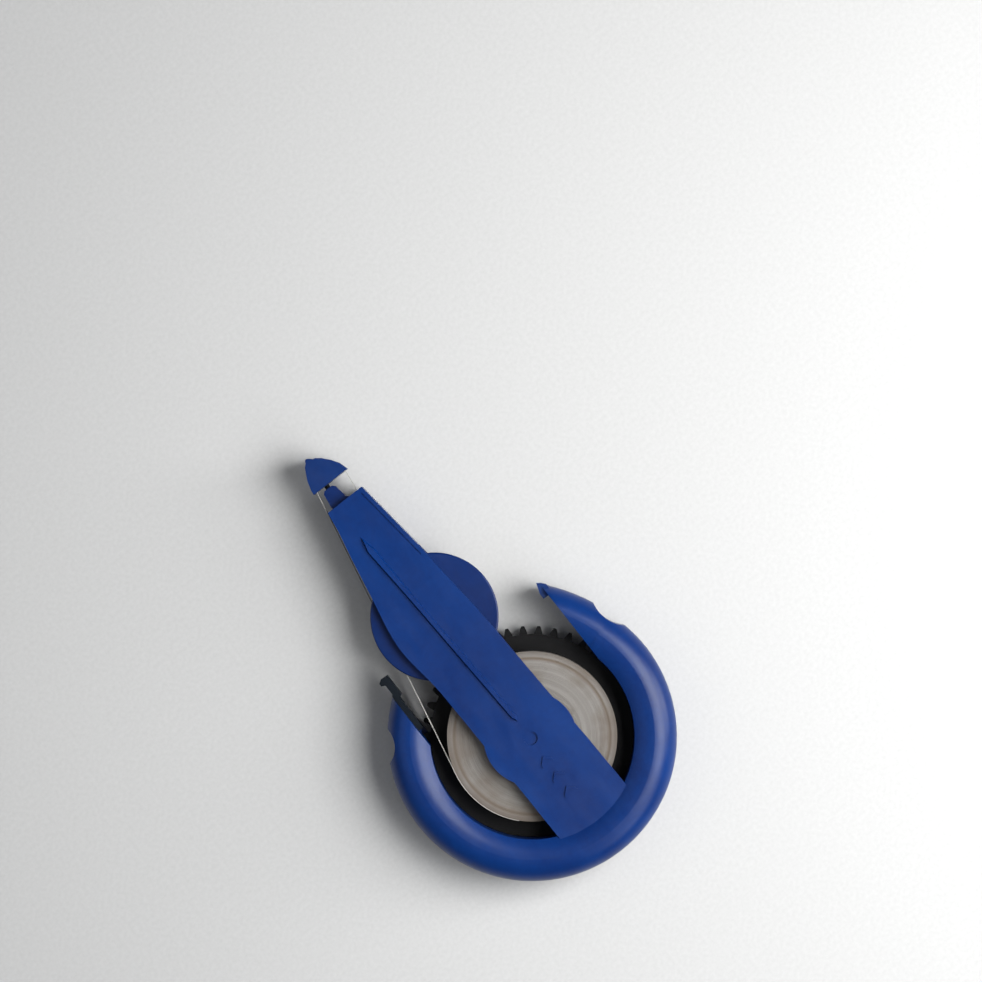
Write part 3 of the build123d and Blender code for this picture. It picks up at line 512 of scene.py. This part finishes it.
def left_touch(centre, radius, other, other_radius):
    """Angle, in degrees, where a run touches the left of a round, bound for another round.

    The run crosses over to the other round's right side if that one's radius is negative.
    """
    apart = other.xy - centre.xy
    turn = math.acos((radius - other_radius) / apart.length)
    return math.degrees(math.atan2(apart.y, apart.x) + turn)


bed = [Vector((x * MM, NOSE_END_Y + y * MM)) for x, y in BED]

# Radii here reach to the middle of the tape's thickness
roll_r = ROLL_R + HALF_THIN
leave = left_touch(SUPPLY, roll_r, bed[0], 0.0)
feed_line = arc(SUPPLY, roll_r, leave + ROLL_WRAP, leave)
feed_line += rounded(bed[: APEX + 1])

drum_r = WOUND_R + HALF_THIN
lobe_r = LOBE_R + HALF_THIN
arrive = left_touch(TAKEUP, drum_r, LOBE, -lobe_r)
lobe_leave = arrive - 180

# The run from the tip meets the lobe's right side, which is the left side in a mirror
lobe_mirrored = Vector((-LOBE.x, LOBE.y))
bed_end_mirrored = Vector((-bed[-1].x, bed[-1].y))
lobe_meet = 180 - left_touch(lobe_mirrored, lobe_r, bed_end_mirrored, 0.0)
return_line = rounded(bed[APEX:])
return_line += arc(LOBE, lobe_r, lobe_meet, lobe_leave)
return_line += arc(TAKEUP, drum_r, arrive, arrive + DRUM_WRAP)

for name, line, slot_name, material, replaced in (
    ("tape_feed_run", feed_line, "tape_white", free_white, ("feed_tape", "tip_tape")),
    ("tape_return_run", return_line, "liner", materials["liner"], ("return_tape",)),
):
    run = new_piece(name, lambda shape: ribbon(shape, spread(line)), material)
    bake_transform(run)
    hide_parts(*replaced)

# ---------------------------------------------------------------- softened moulded edges

EDGE_SEGMENTS = 3
EDGE_SHARPER_THAN = math.radians(32)
EDGE_ROUND = {  # width of the rounding, in millimetres
    "front_cover": 0.20,
    "back_frame": 0.16,
    "takeup_flange": 0.10,
    "tip_head": 0.16,
    "tip_holder": 0.12,
    "left_latch": 0.12,
    "right_latch": 0.12,
    "supply_gear": 0.06,
    "takeup_drum": 0.06,
    "supply_retainer": 0.10,
    "supply_core": 0.08,
}
for name, width in EDGE_ROUND.items():
    bevel = frame["nodes"][name].modifiers.new("edge", "BEVEL")
    bevel.width = width * MM
    bevel.segments = EDGE_SEGMENTS
    bevel.limit_method = "ANGLE"
    bevel.angle_limit = EDGE_SHARPER_THAN

# ---------------------------------------------------------------- floor, light and camera

FLOOR_HALF = 900 * MM
FLOOR_DROP = 0.05 * MM

floor_shape = new_piece(
    "floor",
    lambda shape: bmesh.ops.create_grid(shape, x_segments=4, y_segments=4, size=FLOOR_HALF),
    floor_board(),
)
floor_shape.location.z = -FLOOR_DROP

middle = Vector((0, (cad_box[0][1] + cad_box[1][1]) / 2, 0))


def soft_light(name, place, size, power, colour=(1, 1, 1)):
    """Square area light aimed at the object's middle."""
    light = bpy.data.lights.new(name, "AREA")
    light.size = size
    light.energy = power
    light.color = colour
    obj = bpy.data.objects.new(name, light)
    obj.location = middle + Vector(place)
    obj.rotation_euler = (middle - obj.location).to_track_quat("-Z", "Y").to_euler()
    bpy.context.scene.collection.objects.link(obj)


soft_light("key", (0.165, -0.095, 0.26), 0.22, 1.6)
soft_light("fill", (-0.30, 0.25, 0.55), 0.50, 0.45, (0.95, 0.97, 1.0))
soft_light("side", (0.47, -0.24, 0.20), 0.22, 1.3)
soft_light("low_rim", (0.10, -0.40, 0.34), 0.24, 0.55)

world = bpy.data.worlds.new("studio")
bpy.context.scene.world = world
world.use_nodes = True
world.node_tree.nodes["Background"].inputs["Color"].default_value = (0.86, 0.88, 0.92, 1)
world.node_tree.nodes["Background"].inputs["Strength"].default_value = 0.24

# Straight down, rolled so that the arm points to the upper left
ROLL = math.radians(38.27)
FRAME_WIDTH = 157.9 * MM
AIM = Vector((19.2, 35.0, 5.6)) * MM
LENS = 200.0
SENSOR = 36.0
camera_data = bpy.data.cameras.new("camera")
camera_data.lens = LENS
camera_data.sensor_width = SENSOR
camera_data.clip_start = 0.01
camera_data.clip_end = 20.0
camera = bpy.data.objects.new("camera", camera_data)
bpy.context.scene.collection.objects.link(camera)
camera.location = AIM + Vector((0, 0, FRAME_WIDTH * LENS / SENSOR))
camera.rotation_euler = (0, 0, -ROLL)
bpy.context.scene.camera = camera

bpy.context.scene.view_settings.view_transform = "Standard"
bpy.context.scene.view_settings.look = "None"
